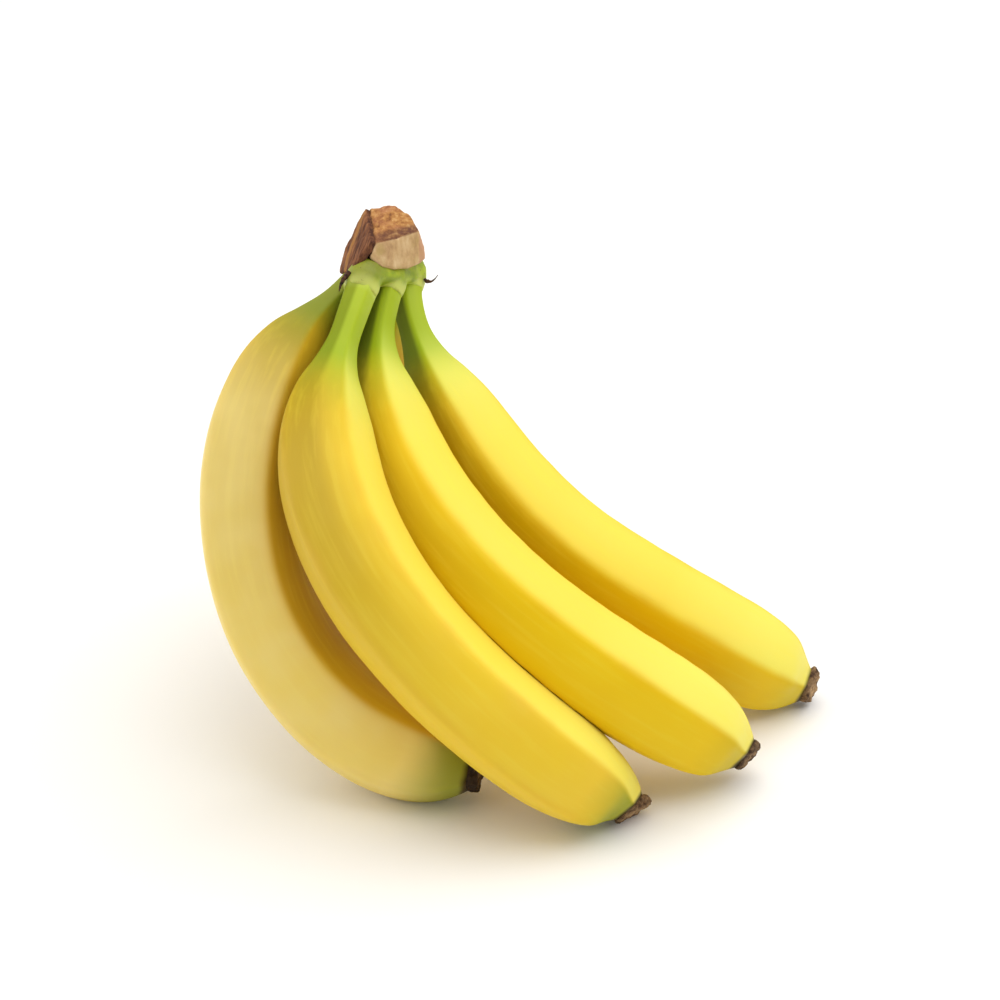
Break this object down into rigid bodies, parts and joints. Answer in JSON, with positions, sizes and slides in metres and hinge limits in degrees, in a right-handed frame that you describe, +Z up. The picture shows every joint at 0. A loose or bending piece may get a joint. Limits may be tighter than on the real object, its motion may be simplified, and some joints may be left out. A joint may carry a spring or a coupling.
{
  "type": "bunch of bananas",
  "caption": "Bunch of ripe yellow bananas joined at a cut brown crown, resting on its fruit with the tips swept to one side.",
  "frame": {"origin": "centre of the bunch's bounding box, on the surface it rests on", "axes": "+X is the way the tips sweep, -Y is the front that the fruit bows towards, +Z is up"},
  "size_m": [0.2093, 0.1668, 0.1595],
  "materials": {
    "peel": "smooth waxy banana skin, yellow with green necks, soft sheen",
    "crown": "cut and dried crown, brown and tan, over a green collar",
    "blossom_end": "dry dark brown flower remnant, rough",
    "dry_fibre": "dry dark plant fibre, rough"
  },
  "bodies": {
    "root": {"crown": "crown", "banana_1_left": "peel", "banana_2_front": "peel", "banana_3_middle": "peel", "banana_4_right": "peel", "banana_5_back": "peel", "blossom_end_1_left": "blossom_end", "blossom_end_2_front": "blossom_end", "blossom_end_3_middle": "blossom_end", "blossom_end_4_right": "blossom_end", "blossom_end_5_back": "blossom_end", "bract_hair": "dry_fibre", "dry_fibre": "dry_fibre"}
  },
  "joints": []
}
